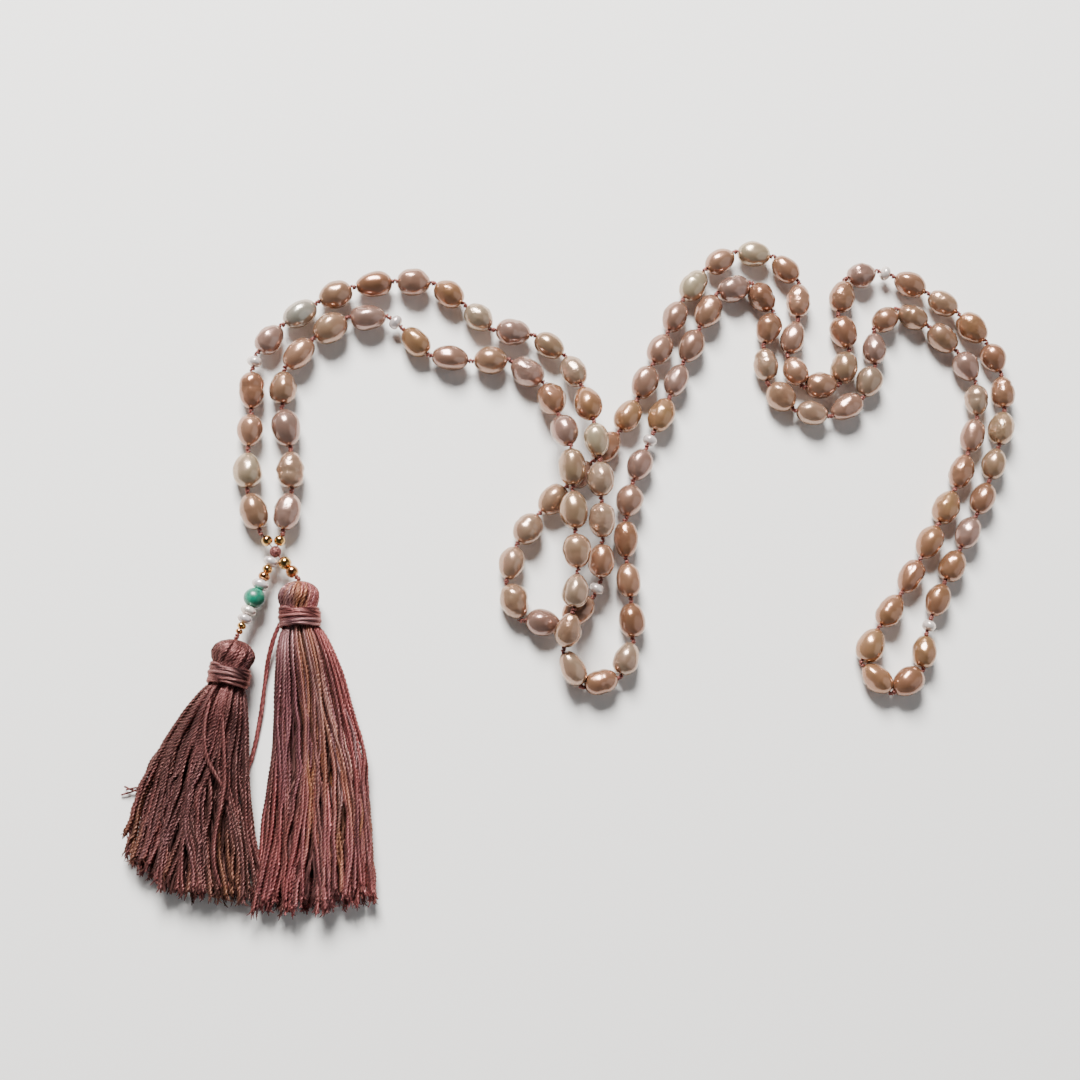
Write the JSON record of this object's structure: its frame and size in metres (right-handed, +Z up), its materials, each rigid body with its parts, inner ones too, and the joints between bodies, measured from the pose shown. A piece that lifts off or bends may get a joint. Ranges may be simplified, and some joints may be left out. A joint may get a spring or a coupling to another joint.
{
  "type": "mala prayer beads",
  "caption": "Knotted strand of oval pearls in a closed loop, laid double, with small marker pearls and floss tassels on beaded drops at the guru end.",
  "frame": {"origin": "centre of the footprint, on the surface that the beads lie on", "axes": "+X from the tassels toward the far fold, +Y away from the tassel tips, +Z up from the surface"},
  "size_m": [0.2087, 0.1615, 0.0128],
  "materials": {
    "pearl_pink": "high lustre nacre, pink to mauve",
    "pearl_peach": "high lustre nacre, peach to gold",
    "pearl_white": "silvery white nacre",
    "silk": "twisted dusty rose silk",
    "knot": "mauve floss",
    "gold": "polished gold",
    "turquoise": "polished, with darker specks",
    "wrap": "dusty rose floss",
    "floss": "variegated dusty rose, mauve and ochre floss"
  },
  "bodies": {
    "valley": {"valley_pearls": "pearl_pink", "valley_silk": "silk", "valley_seeds": "pearl_white"},
    "left_loop": {"left_loop_pearls": "pearl_peach", "left_loop_silk": "silk"},
    "low_loop": {"low_loop_pearls": "pearl_peach", "low_loop_silk": "silk"},
    "span": {"span_pearls": "pearl_peach", "span_silk": "silk", "span_seeds": "pearl_white"},
    "corner": {"corner_pearls": "pearl_pink", "corner_silk": "silk", "corner_seeds": "pearl_white"},
    "rise": {"rise_pearls": "pearl_peach", "rise_silk": "silk"},
    "guru": {"guru_silk": "silk", "guru_knot": "knot"},
    "guru_gold_outer": {"guru_gold_outer": "gold"},
    "guru_gold_inner": {"guru_gold_inner": "gold"},
    "left_drop": {"left_drop_silk": "silk", "left_gold_1": "gold", "left_gold_3": "gold", "left_gold_4": "gold"},
    "left_tassel": {"left_tassel_thread": "silk", "left_tassel_head": "floss", "left_tassel_wrap": "wrap", "left_tassel_skirt": "floss"},
    "right_drop": {"right_drop_silk": "silk"},
    "right_tassel": {"right_tassel_thread": "silk", "right_tassel_head": "floss", "right_tassel_wrap": "wrap", "right_tassel_skirt": "floss"},
    "arch": {"arch_pearls": "pearl_pink", "arch_silk": "silk", "arch_seeds": "pearl_white"},
    "crest": {"crest_pearls": "pearl_peach", "crest_silk": "silk"},
    "bend": {"bend_pearls": "pearl_pink", "bend_silk": "silk"},
    "tail": {"tail_pearls": "pearl_peach", "tail_silk": "silk"},
    "tip": {"tip_pearls": "pearl_pink", "tip_silk": "silk", "tip_seeds": "pearl_white"},
    "left_oval_pearl": {"left_oval_pearl": "pearl_white"},
    "left_gold_2": {"left_gold_2": "gold"},
    "left_button_pearl": {"left_button_pearl": "pearl_white"},
    "turquoise_bead": {"turquoise_bead": "turquoise"},
    "left_white_1": {"left_white_1": "pearl_white"},
    "left_white_2": {"left_white_2": "pearl_white"},
    "right_gold_1": {"right_gold_1": "gold"},
    "right_gold_2": {"right_gold_2": "gold"}
  },
  "joints": [
    {"name": "left_loop_lift", "type": "hinge", "parent": "valley", "child": "left_loop", "pos_m": [-0.0165, -0.00139, 0.00321], "axis": [0.1523, 0.9883, 0], "range_deg": [0, 45]},
    {"name": "low_loop_lift", "type": "hinge", "parent": "valley", "child": "low_loop", "pos_m": [-0.00118, -0.01922, 0.00453], "axis": [-0.9735, -0.1695, 0.1537], "range_deg": [0, 45]},
    {"name": "span_fold", "type": "hinge", "parent": "valley", "child": "span", "pos_m": [-0.02357, 0.05106, 0.00321], "axis": [-0.4888, 0.8724, 0], "range_deg": [0, 30]},
    {"name": "corner_fold", "type": "hinge", "parent": "span", "child": "corner", "pos_m": [-0.0542, 0.05972, 0.00321], "axis": [-0.7776, 0.6288, 0], "range_deg": [0, 30]},
    {"name": "rise_fold", "type": "hinge", "parent": "corner", "child": "rise", "pos_m": [-0.07716, 0.03282, 0.00321], "axis": [-0.9772, -0.2122, 0], "range_deg": [0, 30]},
    {"name": "guru_fold", "type": "hinge", "parent": "rise", "child": "guru", "pos_m": [-0.0752, 0.0045, 0.00321], "axis": [-1, 0, 0], "range_deg": [0, 30]},
    {"name": "arch_fold", "type": "hinge", "parent": "valley", "child": "arch", "pos_m": [0.03591, 0.07206, 0.00321], "axis": [-0.8047, -0.5937, 0], "range_deg": [0, 30]},
    {"name": "crest_fold", "type": "hinge", "parent": "arch", "child": "crest", "pos_m": [0.07103, 0.06714, 0.00321], "axis": [-0.3524, -0.9359, 0], "range_deg": [0, 30]},
    {"name": "bend_fold", "type": "hinge", "parent": "crest", "child": "bend", "pos_m": [0.09756, 0.0403, 0.00321], "axis": [-0.9485, -0.3167, 0], "range_deg": [0, 30]},
    {"name": "tail_fold", "type": "hinge", "parent": "bend", "child": "tail", "pos_m": [0.08746, 0.01337, 0.00321], "axis": [-0.9671, -0.2544, 0], "range_deg": [0, 30]},
    {"name": "tip_fold", "type": "hinge", "parent": "tail", "child": "tip", "pos_m": [0.0779, -0.00348, 0.00321], "axis": [-0.9624, -0.2716, 0], "range_deg": [0, 40]},
    {"name": "left_drop_swing", "type": "hinge", "parent": "guru", "child": "left_drop", "pos_m": [-0.0742, 0.0001, 0.00321], "axis": [0, 0, 1], "range_deg": [-20, 0]},
    {"name": "right_drop_swing", "type": "hinge", "parent": "guru", "child": "right_drop", "pos_m": [-0.0742, 0.0001, 0.00321], "axis": [0, 0, 1], "range_deg": [0, 25]},
    {"name": "left_tassel_lift", "type": "hinge", "parent": "left_drop", "child": "left_tassel", "pos_m": [-0.082, -0.0195, 0.00471], "axis": [-0.9889, 0.1489, 0], "range_deg": [0, 50]},
    {"name": "right_tassel_lift", "type": "hinge", "parent": "right_drop", "child": "right_tassel", "pos_m": [-0.0691, -0.0061, 0.00471], "axis": [-0.9972, -0.0741, 0], "range_deg": [0, 50]},
    {"name": "left_oval_pearl_turn", "type": "hinge", "parent": "left_drop", "child": "left_oval_pearl", "pos_m": [-0.0781, -0.0097, 0.00396], "axis": [-0.3688, -0.9268, 0.0709], "continuous": true},
    {"name": "left_gold_2_turn", "type": "hinge", "parent": "left_drop", "child": "left_gold_2", "pos_m": [-0.0781, -0.0097, 0.00396], "axis": [-0.3688, -0.9268, 0.0709], "continuous": true},
    {"name": "left_button_pearl_turn", "type": "hinge", "parent": "left_drop", "child": "left_button_pearl", "pos_m": [-0.0781, -0.0097, 0.00396], "axis": [-0.3688, -0.9268, 0.0709], "continuous": true},
    {"name": "turquoise_bead_turn", "type": "hinge", "parent": "left_drop", "child": "turquoise_bead", "pos_m": [-0.0781, -0.0097, 0.00396], "axis": [-0.3688, -0.9268, 0.0709], "continuous": true},
    {"name": "left_white_1_turn", "type": "hinge", "parent": "left_drop", "child": "left_white_1", "pos_m": [-0.0781, -0.0097, 0.00396], "axis": [-0.3688, -0.9268, 0.0709], "continuous": true},
    {"name": "left_white_2_turn", "type": "hinge", "parent": "left_drop", "child": "left_white_2", "pos_m": [-0.0781, -0.0097, 0.00396], "axis": [-0.3688, -0.9268, 0.0709], "continuous": true},
    {"name": "right_gold_1_turn", "type": "hinge", "parent": "right_drop", "child": "right_gold_1", "pos_m": [-0.07165, -0.003, 0.00396], "axis": [0.6245, -0.7592, 0.1837], "continuous": true},
    {"name": "right_gold_2_turn", "type": "hinge", "parent": "right_drop", "child": "right_gold_2", "pos_m": [-0.07165, -0.003, 0.00396], "axis": [0.6245, -0.7592, 0.1837], "continuous": true},
    {"name": "guru_gold_outer_turn", "type": "hinge", "parent": "guru", "child": "guru_gold_outer", "pos_m": [-0.07595, 0.0023, 0.00321], "axis": [0.6225, -0.7826, 0], "continuous": true},
    {"name": "guru_gold_inner_turn", "type": "hinge", "parent": "guru", "child": "guru_gold_inner", "pos_m": [-0.07345, 0.0023, 0.00321], "axis": [-0.3227, -0.9465, 0], "continuous": true}
  ]
}
